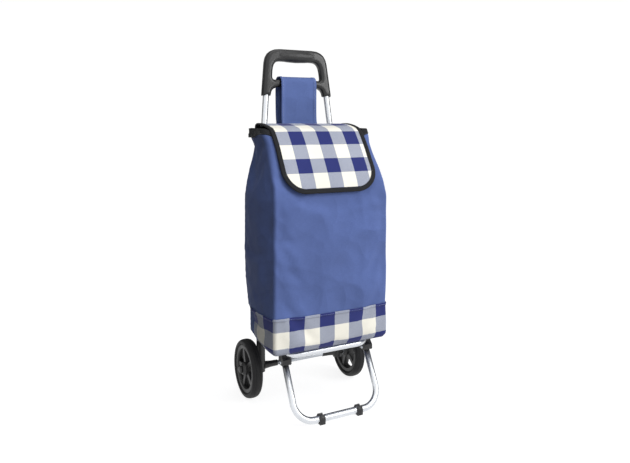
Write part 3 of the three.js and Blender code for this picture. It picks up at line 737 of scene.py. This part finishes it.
# ---------------------------------------------------------------- bag
# Height, half width at the front and at the rear, front face and side swell, in millimetres.
BAG_LEVELS = np.array([
    (167, 157, 150, -183, 4), (176, 163, 155, -188.5, 5), (240, 163.5, 156, -189.3, 6),
    (256, 163.5, 161.5, -189.5, 6), (326, 163.8, 169, -190, 6), (400, 164, 171.5, -190.5, 6),
    (541, 164, 171, -190.5, 5), (575, 162.5, 166, -182, 4), (610, 160, 158, -165, 3),
    (635, 157, 151, -150.5, 2), (665, 155, 146, -132.6, 1), (691, 152, 155, -115.7, 1),
    (706, 152, 155, -106, 1),
])
BAG_BACK = -14
BAG_BOTTOM = 167
BAG_TOP = 706


def smoothstep(value, low, high):
    share = min(max((value - low) / (high - low), 0), 1)
    return share * share * (3 - 2 * share)


def bag_level(z):
    z = min(max(z, BAG_BOTTOM), BAG_TOP)
    return [np.interp(z, BAG_LEVELS[:, 0], BAG_LEVELS[:, k]) for k in (1, 2, 3, 4)]


REAR_CORNER = 6
ACROSS, TURN, DEEP = 19, 6, 19  # columns of cloth across half the front, a corner and a side


def bag_ring(z):
    """One level of the bag: (x, y) points anticlockwise from the front middle."""
    half, rear, front, swell = bag_level(z)
    r = 9 + 9 * smoothstep(z, 560, BAG_TOP)
    rear_r = REAR_CORNER + 8 * smoothstep(z, 655, BAG_TOP)
    right = [((half - r) * k / ACROSS, front) for k in range(ACROSS)]
    for k in range(TURN + 1):
        a = -math.pi / 2 + (math.pi / 2) * k / TURN
        right.append((half - r + r * math.cos(a), front + r + r * math.sin(a)))
    for k in range(1, DEEP):
        share = k / DEEP
        x = half + (rear - half) * share + swell * math.sin(math.pi * share)
        right.append((x, front + r + (BAG_BACK - rear_r - front - r) * share))
    for k in range(TURN + 1):
        a = (math.pi / 2) * k / TURN
        x = rear - rear_r + rear_r * math.cos(a)
        right.append((x, BAG_BACK - rear_r + rear_r * math.sin(a)))
    for k in range(1, ACROSS):
        right.append(((rear - rear_r) * (1 - k / ACROSS), BAG_BACK))
    return right + [(0, BAG_BACK)] + [(-x, y) for x, y in reversed(right[1:])]


def rim_lift(x, y):
    """The mouth stands up at its corners and dips in the middle of the front."""
    corner = smoothstep(abs(x), 122, 148)
    front = smoothstep(-y, 60, 104)
    return 7.5 * corner - 3.0 * (1 - corner) * front


CREASES = [
    # start (x, z), end (x, z), width, depth: folds across the front face
    ((-163, 447), (-96, 449), 7, 1.5), ((-163, 394), (-99, 363), 9, 1.3),
    ((-34, 305), (63, 341), 6, 1.0), ((54, 503), (143, 513), 8, 1.2),
    ((-145, 566), (-160, 598), 8, 1.6), ((150, 420), (90, 380), 9, 0.9),
    ((-150, 340), (-60, 322), 8, 0.9), ((20, 420), (110, 452), 12, 0.9),
]


def crease_depth(x, z):
    depth = 0.0
    for (x0, z0), (x1, z1), width, deep in CREASES:
        dx, dz = x1 - x0, z1 - z0
        share = ((x - x0) * dx + (z - z0) * dz) / (dx * dx + dz * dz)
        inside = smoothstep(share, -0.05, 0.15) * (1 - smoothstep(share, 0.6, 1.1))
        off = ((x - x0) * dz - (z - z0) * dx) / math.hypot(dx, dz)
        depth += deep * inside * (off / width) * math.exp(0.5 - off * off / (2 * width * width))
    return depth


GIRTH_AT = 400  # the level whose girth gives the cloth its measure across


def bag_grid():
    heights = [167, 170.5, 175] + list(np.linspace(182, BAG_TOP, 66))
    full = bag_ring(GIRTH_AT)
    reach = [0.0]
    for a, b in zip(full, full[1:]):
        reach.append(reach[-1] + math.dist(a, b))
    gap = math.dist(full[0], full[-1])
    half = len(full) // 2
    verts, uvs = [], []
    for z in heights:
        for k, (x, y) in enumerate(bag_ring(z)):
            lift = rim_lift(x, y) * smoothstep(z, 640, BAG_TOP)
            verts.append(Vector((x, y, z + lift)))
            run = reach[k] if k <= half else reach[k] - reach[-1] - gap
            uvs.append((run * MM, z * MM))
    return verts, uvs, heights, len(full)


def settle_cloth(name, verts, faces, pinned, looseness, inflate, steps=22):
    """Lets a copy of the cloth buckle between its pinned points; returns the new points."""
    probe = add_object(name + "_probe", verts, faces, BLUE)
    group = probe.vertex_groups.new(name="pin")
    for index, weight in enumerate(pinned):
        if weight > 0:
            group.add([index], weight, "REPLACE")
    cloth = probe.modifiers.new("cloth", "CLOTH")
    s = cloth.settings
    s.vertex_group_mass = "pin"
    s.quality = 7
    s.mass = 0.25
    s.tension_stiffness = s.compression_stiffness = 22
    s.shear_stiffness = 12
    s.bending_stiffness = 2.2
    s.shrink_min = looseness
    s.use_pressure = True
    s.uniform_pressure_force = inflate
    s.effector_weights.gravity = 0.25
    cloth.collision_settings.use_collision = False
    scene = bpy.context.scene
    for step in range(1, steps + 1):
        scene.frame_set(step)
    graph = bpy.context.evaluated_depsgraph_get()
    result = probe.evaluated_get(graph)
    moved = [v.co.copy() for v in result.data.vertices]
    scene.frame_set(1)
    bpy.data.objects.remove(probe)
    return moved


SETTLE_LIMIT = 5.5 * MM  # the farthest a point of the cloth may settle
SLACK = -0.012
INFLATE = 1.2


def settled(verts, points, heights, columns):
    """The points after the cloth has buckled between its seams, hems and upright corners."""
    pinned = []
    for z in heights:
        for c in range(columns):
            y = verts[len(pinned)][1]
            edge = z <= 175 or z >= BAG_TOP - 16
            corner = ACROSS - 1 <= min(c, columns - c) <= ACROSS + TURN
            pinned.append(1.0 if edge or corner else 0.75 if y > BAG_BACK - 4 else 0.0)
    faces = grid(len(heights), columns, ring=True)
    moved = settle_cloth("bag", points, faces, pinned, SLACK, INFLATE)
    result = []
    for (x, y, z), old, new in zip(verts, points, moved):
        step = new - old
        if step.length > SETTLE_LIMIT:
            step *= SETTLE_LIMIT / step.length
        under_flap = z > 535 and abs(x) < 140 and y < -60
        proud = (old + step).y < old.y
        if y > BAG_BACK - 6:
            step *= 0.3
        if under_flap and proud:
            step.y *= 0.2
        result.append(old + step)
    return result


def shaped_bag():
    """The bag's points, settled as cloth, with its creases, neck and stiff mouth."""
    verts, uvs, heights, columns = bag_grid()
    points = [at(*v) for v in verts]
    points = settled(verts, points, heights, columns)
    for i, (x, y, z) in enumerate(verts):
        p = points[i]
        if y < -150 or z > 541:
            front = smoothstep(-y, 90, 130) * (1 - smoothstep(abs(x), 158, 164) * 0.5)
            p.y += crease_depth(x, z) * front * MM
        side = smoothstep(abs(x), 120, 156)
        # The sides are pinched in below the mouth, most at the back.
        pinch = math.exp(-((z - 664) / 26) ** 2) * smoothstep(y, -95, -20)
        p.y -= 6 * pinch * side * MM
        # The mouth's stiff corners stand out from the neck.
        flare = smoothstep(z, 672, 700) * smoothstep(abs(x), 130, 150)
        p.x += math.copysign((7 - 4 * smoothstep(y, -100, -60)) * flare, x) * MM
        # The bottom of the sides is drawn up towards the back.
        lower = 1 - smoothstep(z, 167, 200)
        p.z += 9 * lower * side * smoothstep(y, -150, -60) * MM
        wave = noise.noise(Vector((x, y, z)) * 0.011 + Vector((3.1, 0, 7.7)))
        ripple = noise.noise(Vector((x, y * 1.4, z * 0.7)) * 0.03)
        free = smoothstep(z, 175, 230) * (1 - smoothstep(z, 680, 704))
        free *= 1 - smoothstep(y, -40, -22)
        outward = Vector((math.copysign(side, x), -smoothstep(-y, 120, 165), 0))
        calm = 0.35 if (z > 535 and abs(x) < 140) else 1.0
        p += outward * (1.6 * wave + 0.7 * ripple - 0.5) * free * calm * MM
    return points, uvs, heights, columns


def outward_normals(points, rows, columns):
    probe = add_object("probe", points, grid(rows, columns, ring=True), BLUE)
    face_out(probe)
    middle = sum(points, Vector()) / len(points)
    normals = [v.normal.copy() for v in probe.data.vertices]
    score = sum(n.dot(p - middle) for n, p in zip(normals, points))
    bpy.data.objects.remove(probe)
    return [n if score > 0 else -n for n in normals]


def make_bag():
    points, uvs, heights, columns = shaped_bag()
    rows = len(heights)
    normals = outward_normals(points, rows, columns)
    make_bag_shell(points, uvs, rows, columns)
    make_band(points, normals, uvs, heights, columns)
    make_rim(points, normals, heights, columns)


def make_bag_shell(points, uvs, rows, columns):
    verts = [p.copy() for p in points]
    coords = list(uvs)
    faces = grid(rows, columns, ring=True)
    # The bottom is a smaller and smaller ring, sagging a little between the platform's arms.
    middle = sum(verts[:columns], Vector()) / columns
    previous = list(range(columns))
    for share in (0.93, 0.8, 0.6, 0.4, 0.2):
        ring = []
        for c in range(columns):
            p = middle.lerp(points[c], share)
            p.z = middle.z + (points[c].z - middle.z) * share ** 2 - 1.2 * MM * (1 - share)
            ring.append(len(verts))
            verts.append(p)
            coords.append((p.x, p.y))
        for c in range(columns):
            d = (c + 1) % columns
            faces.append((previous[c], ring[c], ring[d], previous[d]))
        previous = ring
    faces.append(tuple(previous))
    bag = add_object("bag_shell", verts, faces, BLUE, coords)
    face_out(bag)
    thickened(bag, 2.2 * MM, -1.0)
    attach(bag, FRAME)
    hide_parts("bag_body")
    folds_flat(bag)


def strip(name, rows_of_points, uvs, material, thickness, offset, ring=False):
    rows, columns = len(rows_of_points), len(rows_of_points[0])
    flat = [p for row in rows_of_points for p in row]
    made = add_object(name, flat, grid(rows, columns, ring=ring), material, uvs)
    return thickened(made, thickness, offset)


BAND_TOP = 256
BAND_REACH = 14  # columns the band runs back along each side at its seam
BAND_LEAN = 2.85  # columns it falls short of that at its lower edge


def band_places(z):
    """Where the band's points lie round the bag, in columns from the front middle."""
    corner = ACROSS + TURN
    reach = BAND_REACH - BAND_LEAN * (BAND_TOP - z) / (BAND_TOP - BAG_BOTTOM)
    right = [float(c) for c in range(corner + 1)]
    right += [corner + reach * k / BAND_REACH for k in range(1, BAND_REACH + 1)]
    return [-c for c in reversed(right[1:])] + right


def read_ring(values, row, columns, place):
    """The value between two columns of one ring."""
    low = math.floor(place)
    a = values[row * columns + low % columns]
    b = values[row * columns + (low + 1) % columns]
    return a + (b - a) * (place - low)


def make_band(points, normals, uvs, heights, columns):
    """The check band: rows up to the seam, round the front and most of each side."""
    across = [u for u, _ in uvs]
    sheet, outs, coords = [], [], []
    rows = [r for r, z in enumerate(heights) if z <= BAND_TOP]
    share = (BAND_TOP - heights[rows[-1]]) / (heights[rows[-1] + 1] - heights[rows[-1]])
    for r, z in [(r, heights[r]) for r in rows] + [(rows[-1], BAND_TOP)]:
        line, out = [], []
        for place in band_places(z):
            p = read_ring(points, r, columns, place)
            if z == BAND_TOP:
                p = p.lerp(read_ring(points, r + 1, columns, place), share)
            n = read_ring(normals, r, columns, place).normalized()
            line.append(p + n * 0.7 * MM)
            out.append(n)
            coords.append((read_ring(across, r, columns, place), z * MM))
        sheet.append(line)
        outs.append(out)
    band = strip("bag_band", sheet, coords, BAND_CHECK, 0.9 * MM, 0.0)
    face_out(band)
    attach(band, FRAME)
    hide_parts("bag_lower_band")
    folds_flat(band)
    make_band_hem(sheet[-1], outs[-1], [u for u, _ in coords[-len(outs[-1]):]])
    make_band_ends(sheet, outs)


HEM_SECTION = (  # height from the seam, distance off the bag
    (-6, 0.9), (-5.6, 1.5), (-3, 1.8), (-0.4, 1.9), (0.5, 1.4), (0.6, 0.7),
)


def make_band_hem(seam, outward, across):
    """The band's top is folded over and stitched: a raised fold and one row of thread."""
    fold, coords = [], []
    for height, proud in HEM_SECTION:
        lift = Vector((0, 0, height * MM))
        fold.append([p + n * proud * MM + lift for p, n in zip(seam, outward)])
        coords += [(u, (BAND_TOP + height) * MM) for u in across]
    hem = strip("bag_band_fold", fold, coords, BAND_CHECK, 0.5 * MM, 0.0)
    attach(hem, FRAME)
    line = [p + n * 1.9 * MM + Vector((0, 0, -3 * MM)) for p, n in zip(seam, outward)]
    sewn = stitches("bag_band_stitches", line, outward, THREAD_BLUE, FRAME, 5 * MM, 0.45 * MM)
    folds_flat(hem, sewn)


def make_band_ends(sheet, outs):
    """A narrow sewn fold of plain cloth covers each raw end of the band."""
    for name, pick in (("right", -1), ("left", 0)):
        edge = [row[pick] for row in sheet]
        away = [row[pick] for row in outs]
        fold, coords = [], []
        for shift, proud in ((-2, 0.3), (-1, 1.3), (1, 1.3), (2, 0.0)):
            aside = Vector((0, shift * MM, 0))
            fold.append([p + n * proud * MM + aside for p, n in zip(edge, away)])
            coords += [(shift * MM, p.z) for p in edge]
        piece = strip(f"bag_band_seam_{name}", fold, coords, BLUE, 0.5 * MM, 0.0)
        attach(piece, FRAME)
        folds_flat(piece)


def rear_corner(p):
    """1 at the mouth's rear corners, where the tape is folded over itself, falling to 0."""
    across = smoothstep(abs(p.x), 128 * MM, 146 * MM)
    back = smoothstep(p.y - AXLE.y, -78 * MM, -50 * MM)
    return across * back


def make_rim(points, normals, heights, columns):
    """Tape folded over the mouth, outside and in, with its row of stitches."""
    top = (len(heights) - 1) * columns
    rim = points[top:top + columns]
    below = points[top - 2 * columns:top - columns]
    drop = [(b - t).normalized() for b, t in zip(below, rim)]
    out = normals[top:top + columns]
    flat_out = [Vector((n.x, n.y, 0)).normalized() for n in out]
    # depth below the rim, distance off the cloth
    section = [(15, 0.4), (14.6, 1.3), (9, 1.6), (2, 1.7), (-1.2, 1.2), (-2.0, -1.2), (-1.2, -3.6),
               (2, -4.1), (9, -4.0), (14.6, -3.8), (15, -2.9)]
    rings, coords = [], []
    run = run_along(rim)
    bunched = [rear_corner(p) for p in rim]
    for depth, proud in section:
        ring = []
        for p, d, n, bunch in zip(rim, drop, flat_out, bunched):
            ripple = noise.noise(Vector((p.x * 130, p.y * 130, depth * 0.12)))
            outer = 1.0 if proud > 0 else 0.0
            sunk = depth * (1 + 0.45 * bunch)
            swollen = proud + bunch * outer * (2.2 + 6.5 * ripple)
            ring.append(p + d * sunk * MM + n * swollen * MM)
        rings.append(ring)
        coords += [(s, depth * MM) for s in run]
    tape = strip("bag_tape", rings, coords, TAPE, 0.5 * MM, 0.0, ring=True)
    face_out(tape)
    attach(tape, FRAME)
    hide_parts("bag_rim_tape")
    line = [p + d * 12 * MM + n * 1.9 * MM for p, d, n in zip(rim, drop, flat_out)]
    sewn = stitches("bag_tape_stitches", line + line[:1], flat_out + flat_out[:1],
                    THREAD_BLACK, FRAME)
    folds_flat(tape, sewn)


# ---------------------------------------------------------------- strips bent in the y-z plane
class BentLine:
    """A smooth line through (y, z) points in millimetres, read by distance along it."""

    def __init__(self, knots, steps=14):
        knots = [Vector((0, y, z)) for y, z in knots]
        ends = [2 * knots[0] - knots[1], *knots, 2 * knots[-1] - knots[-2]]
        self.points = []
        for a, b, c, d in zip(ends, ends[1:], ends[2:], ends[3:]):
            for k in range(steps):
                self.points.append(self.between(a, b, c, d, k / steps))
        self.points.append(knots[-1])
        self.reach = run_along(self.points)
        self.length = self.reach[-1]

    @staticmethod
    def between(a, b, c, d, share):
        """Centripetal curve from b to c."""
        t = [0.0]
        for p, q in ((a, b), (b, c), (c, d)):
            t.append(t[-1] + math.sqrt((q - p).length))
        s = t[1] + (t[2] - t[1]) * share
        def blend(p, q, i, j):
            return p * ((t[j] - s) / (t[j] - t[i])) + q * ((s - t[i]) / (t[j] - t[i]))
        ab, bc, cd = blend(a, b, 0, 1), blend(b, c, 1, 2), blend(c, d, 2, 3)
        return blend(blend(ab, bc, 0, 2), blend(bc, cd, 1, 3), 1, 2)

    def frame(self, s):
        """Point, direction and upper-side normal at distance s."""
        s = min(max(s, 0.0), self.length)
        i = min(max(bisect.bisect_right(self.reach, s) - 1, 0), len(self.points) - 2)
        a, b = self.points[i], self.points[i + 1]
        along = (b - a).normalized()
        spot = a.lerp(b, (s - self.reach[i]) / (self.reach[i + 1] - self.reach[i]))
        return spot, along, Vector((0, -along.z, along.y))

    def point(self, x, s, n):
        spot, _, up = self.frame(s)
        return at(x, spot.y + n * up.y, spot.z + n * up.z)

    def distance_at_height(self, z, start=0.0):
        for s, p in zip(self.reach, self.points):
            if s > start and p.z <= z:
                return s
        return self.length


LOOP_LINE = BentLine([
    (-10.4, 668), (-10.4, 690), (-9.6, 706), (-3, 719), (4, 733), (6, 752), (6, 800), (6.2, 838),
    (9, 850.5), (16, 857), (27, 858.6), (38, 857), (44, 849), (45.5, 834), (45, 790), (41, 735),
    (22, 690), (-2, 655), (-10.4, 630), (-10.4, 600),
])
LOOP_STITCHES = 48.5  # how far each row of thread is from the loop's middle


def make_loop():
    """The loop over the handle's arch: one flat strip with a stitched hem down each side."""
    half = [10, 20, 30, 40, 46.2, 47, 51, 53.4, 54]
    across = [-x for x in reversed(half)] + [0] + half
    steps = 110
    rows, coords = [], []
    for k in range(steps + 1):
        s = LOOP_LINE.length * k / steps
        line = []
        for x in across:
            hem = 0.55 if abs(x) >= 47 and abs(x) < 53.8 else 0.0
            left = LOOP_LINE.length - s
            ease = smoothstep(s, 30, 60) * smoothstep(left, 30, 60)
            wave = 0.9 * noise.noise(Vector((x * 0.02, s * 0.012, 1.7))) * ease
            line.append(LOOP_LINE.point(x, s, hem + wave))
            coords.append((x * MM, s * MM))
        rows.append(line)
    loop = strip("loop_strip", rows, coords, BLUE_BACK, 1.5 * MM, 0.0)
    face_out(loop)
    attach(loop, FRAME)
    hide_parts("hanging_loop")
    for sign, name in ((1, "right"), (-1, "left")):
        marks = [LOOP_LINE.length * k / 150 for k in range(4, 147)]
        line = [LOOP_LINE.point(sign * LOOP_STITCHES, s, 1.35) for s in marks]
        ups = [LOOP_LINE.frame(s)[2] for s in marks]
        stitches(f"loop_stitches_{name}", line, ups, THREAD_BLUE, FRAME)


# ---------------------------------------------------------------- flap
FLAP_LINE = BentLine([
    (-17, 711.3), (-15.6, 717), (-17, 723), (-24, 726.8), (-38, 727.4), (-56, 725.8),
    (-74, 722.4), (-90, 718.4), (-102, 714.6), (-110.8, 708.4),
    (-117.5, 699), (-130.5, 678.5), (-155, 637.5), (-169.5, 612.5), (-187, 577), (-193, 555),
])
FLAP_HALF = 135
FLAP_CORNER = 62
BINDING = 11.5
THREAD_IN = BINDING - 1.6  # from the flap's edge to its row of thread
FLAP_CHECK = check_look(
    "check_fabric_flap",
    -FLAP_EDGE + CELL,
    FLAP_LINE.distance_at_height(FLAP_ROW_Z, 80) * MM - CELL,
)


def flap_half(s, inset=0.0):
    """Half the flap's width at distance s along it."""
    length = FLAP_LINE.length - inset
    corner = FLAP_CORNER - inset
    into = max(s - (length - corner), 0)
    return FLAP_HALF - inset - corner + math.sqrt(max(corner ** 2 - into ** 2, 0))


def flap_skew(s):
    """The flap is sewn on a little off centre, and hangs straight again lower down."""
    return 6 * (smoothstep(s, 40, 170) - 1)


def flap_wave(x, s):
    """Gentle unevenness of the flap's cloth, none where it is sewn down."""
    ease = smoothstep(s, 20, 70)
    broad = noise.noise(Vector((x * 0.012, s * 0.014, 4.2)))
    fine = noise.noise(Vector((x * 0.035, s * 0.03, 9.1)))
    return ease * (1.3 * broad + 0.5 * fine)


def on_flap(x, s, height=0.0):
    """A point at a height over the flap's uneven cloth."""
    return FLAP_LINE.point(x + flap_skew(s), s, height + flap_wave(x, s))


def make_flap():
    inset = BINDING - 3
    length = FLAP_LINE.length - inset
    stations = [length * k / 46 for k in range(40)]
    corner_start = stations[-1]
    turn = length - corner_start
    stations += [corner_start + turn * math.sin(math.pi / 2 * k / 14) for k in range(1, 15)]
    shares = [math.sin(math.pi / 2 * t) for t in np.linspace(-1, 1, 41)]
    rows, coords = [], []
    for s in stations:
        half = max(flap_half(s, inset), 1.0)
        line = []
        for share in shares:
            x = half * share
            line.append(on_flap(x, s))
            coords.append((x * MM, s * MM))
        rows.append(line)
    panel = strip("flap_cloth", rows, coords, FLAP_CHECK, 1.8 * MM, 0.0)
    face_out(panel)
    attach(panel, FLAP)
    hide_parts("flap_panel")
    bind, sewn, under = make_binding()
    folds_flat(panel, bind, sewn, under)
    make_flap_root()


FLAP_ROOT = (704.5, 709, 713, 717, 720)  # heights of the strip that joins flap and mouth
ROOT_Y = -17.2


def make_flap_root():
    """The strip of tape the flap hangs from: sewn to the mouth's back below, to the flap above."""
    across = np.linspace(-(FLAP_HALF - 1), FLAP_HALF - 1, 31)
    rows, coords = [], []
    for z in FLAP_ROOT:
        rows.append([at(x + flap_skew(0), ROOT_Y, z) for x in across])
        coords += [(x * MM, z * MM) for x in across]
    root = strip("flap_root", rows, coords, TAPE, 1.0 * MM, 0.0)
    face_out(root)
    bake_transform(root)


def flap_edge():
    """Points round the flap's free edge: across, along, and the way in."""
    straight = FLAP_LINE.length - FLAP_CORNER
    right = [(FLAP_HALF, straight * k / 40, -1, 0) for k in range(40)]
    for k in range(19):
        a = math.pi / 2 * k / 18
        x = FLAP_HALF - FLAP_CORNER + FLAP_CORNER * math.cos(a)
        right.append((x, straight + FLAP_CORNER * math.sin(a), -math.cos(a), -math.sin(a)))
    bottom = FLAP_HALF - FLAP_CORNER
    middle = [(bottom * (1 - k / 12), FLAP_LINE.length, 0, -1) for k in range(1, 12)]
    half = right + middle
    left = [(-x, s, -dx, ds) for x, s, dx, ds in reversed(half)]
    return half + [(0, FLAP_LINE.length, 0, -1)] + left


def make_binding():
    """Tape folded round the flap's edge, swollen at the fold, with thread near its inner edge."""
    # distance in from the edge, height above the flap's line
    section = [(BINDING, 0.9), (BINDING - 0.3, 1.5), (7.5, 1.9), (4, 2.3), (1.2, 2.1), (0.2, 1.1),
               (0, 0), (0.2, -1.1), (1.2, -1.7), (4, -1.8), (7.5, -1.6),
               (BINDING - 0.3, -1.3), (BINDING, -0.9)]
    edge = flap_edge()
    run = [0.0]
    for a, b in zip(edge, edge[1:]):
        run.append(run[-1] + math.hypot(a[0] - b[0], a[1] - b[1]))
    rings, coords = [], []
    for into, height in section:
        line = []
        for (x, s, dx, ds), r in zip(edge, run):
            px, ps = x + dx * into, s + ds * into
            line.append(on_flap(px, ps, height))
            coords.append((r * MM, into * MM))
        rings.append(line)
    bind = strip("flap_edge_tape", rings, coords, TAPE, 0.5 * MM, -1.0)
    face_out(bind)
    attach(bind, FLAP)
    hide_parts("flap_binding")

    def thread(name, height):
        inner = [(x + dx * THREAD_IN, s + ds * THREAD_IN) for x, s, dx, ds in edge]
        line = [on_flap(x, s, height) for x, s in inner]
        ups = [FLAP_LINE.frame(s)[2] for _, s in inner]
        return stitches(name, line, ups, THREAD_BLACK, FLAP, 4 * MM, 0.4 * MM)

    sewn = thread("flap_stitches", 1.95)
    under = thread("flap_stitches_under", -1.75)
    return bind, sewn, under


# ---------------------------------------------------------------- build
make_camera()
make_studio()
make_frame()
make_tubes()
make_bag()
make_loop()
make_flap()
